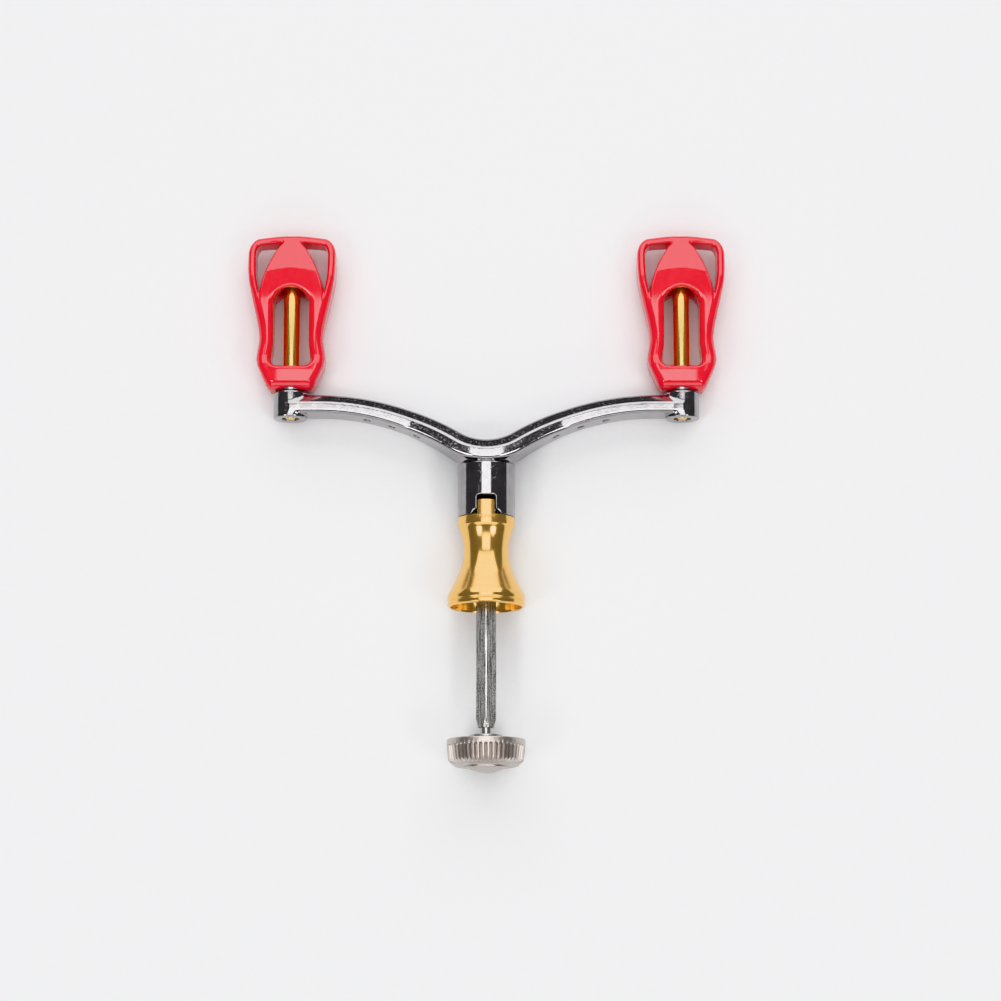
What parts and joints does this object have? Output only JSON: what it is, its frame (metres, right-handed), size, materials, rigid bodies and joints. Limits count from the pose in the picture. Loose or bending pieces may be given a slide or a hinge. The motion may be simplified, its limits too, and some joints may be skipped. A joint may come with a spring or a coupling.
{
  "type": "folding reel handle",
  "caption": "Folding twin-knob crank handle: curved arm on a fold pin, locking collar, square drive shank, screw cap and free-spinning skeleton knobs.",
  "frame": {"origin": "on the drive shank's axis, in the plane of the collar's rim, where the collar seats on the reel's side", "axes": "+Y along the shank's axis towards the knobs, +X along the arm towards the right knob, +Z out of the front face; -Z faces the table when it lies down"},
  "size_m": [0.1206, 0.1359, 0.0194],
  "materials": {
    "arm_plate": "polished black nickel plate on die cast zinc",
    "shank_steel": "drawn steel bar, satin",
    "small_steel": "turned steel",
    "bearing_steel": "ground bearing steel",
    "spindle_brass": "turned brass, satin",
    "collar_gold": "turned aluminium, bright gold anodised",
    "cap_grey": "turned and knurled aluminium, satin champagne grey anodised",
    "knob_red": "moulded, high gloss red"
  },
  "bodies": {
    "shank": {"drive_shank": "shank_steel"},
    "arm": {"handle_arm": "arm_plate", "fold_pin": "small_steel", "spindle_left": "spindle_brass", "spindle_right": "spindle_brass", "thrust_washer_left": "small_steel", "thrust_washer_right": "small_steel", "keeper_washer_left": "small_steel", "keeper_washer_right": "small_steel", "knob_screw_left": "small_steel", "knob_screw_right": "small_steel", "lower_inner_ring_left": "bearing_steel", "lower_inner_ring_right": "bearing_steel", "upper_inner_ring_left": "bearing_steel", "upper_inner_ring_right": "bearing_steel"},
    "left_knob": {"knob_left": "knob_red", "knob_plug_left": "knob_red", "lower_outer_ring_left": "bearing_steel", "lower_balls_left": "bearing_steel", "upper_outer_ring_left": "bearing_steel", "upper_balls_left": "bearing_steel"},
    "right_knob": {"knob_right": "knob_red", "knob_plug_right": "knob_red", "lower_outer_ring_right": "bearing_steel", "lower_balls_right": "bearing_steel", "upper_outer_ring_right": "bearing_steel", "upper_balls_right": "bearing_steel"},
    "sleeve": {"collar": "collar_gold"},
    "washer": {"cap_washer": "small_steel"},
    "cap": {"screw_cap": "cap_grey", "cap_stud": "small_steel", "cap_button": "cap_grey"}
  },
  "joints": [
    {"name": "arm_fold", "type": "hinge", "parent": "shank", "child": "arm", "pos_m": [0, 0.0246, 0], "axis": [1, 0, 0], "range_deg": [0, 90]},
    {"name": "collar_slide", "type": "slide", "parent": "shank", "child": "sleeve", "axis": [0, -1, 0], "range_m": [0, 0.0126]},
    {"name": "left_knob_spin", "type": "hinge", "parent": "arm", "child": "left_knob", "pos_m": [-0.04925, 0.075, 0], "axis": [0, 1, 0], "continuous": true},
    {"name": "right_knob_spin", "type": "hinge", "parent": "arm", "child": "right_knob", "pos_m": [0.04925, 0.075, 0], "axis": [0, 1, 0], "continuous": true},
    {"name": "cap_travel", "type": "slide", "parent": "shank", "child": "washer", "axis": [0, -1, 0], "range_m": [0, 0.0091]},
    {"name": "cap_unscrew", "type": "hinge", "parent": "washer", "child": "cap", "pos_m": [0, -0.036, 0], "axis": [0, -1, 0], "range_deg": [0, 6480]}
  ],
  "couplings": [
    {"joint": "collar_slide", "follows": "arm_fold", "m_per_rad": 0.008},
    {"joint": "cap_travel", "follows": "cap_unscrew", "m_per_rad": 0.000079577}
  ]
}
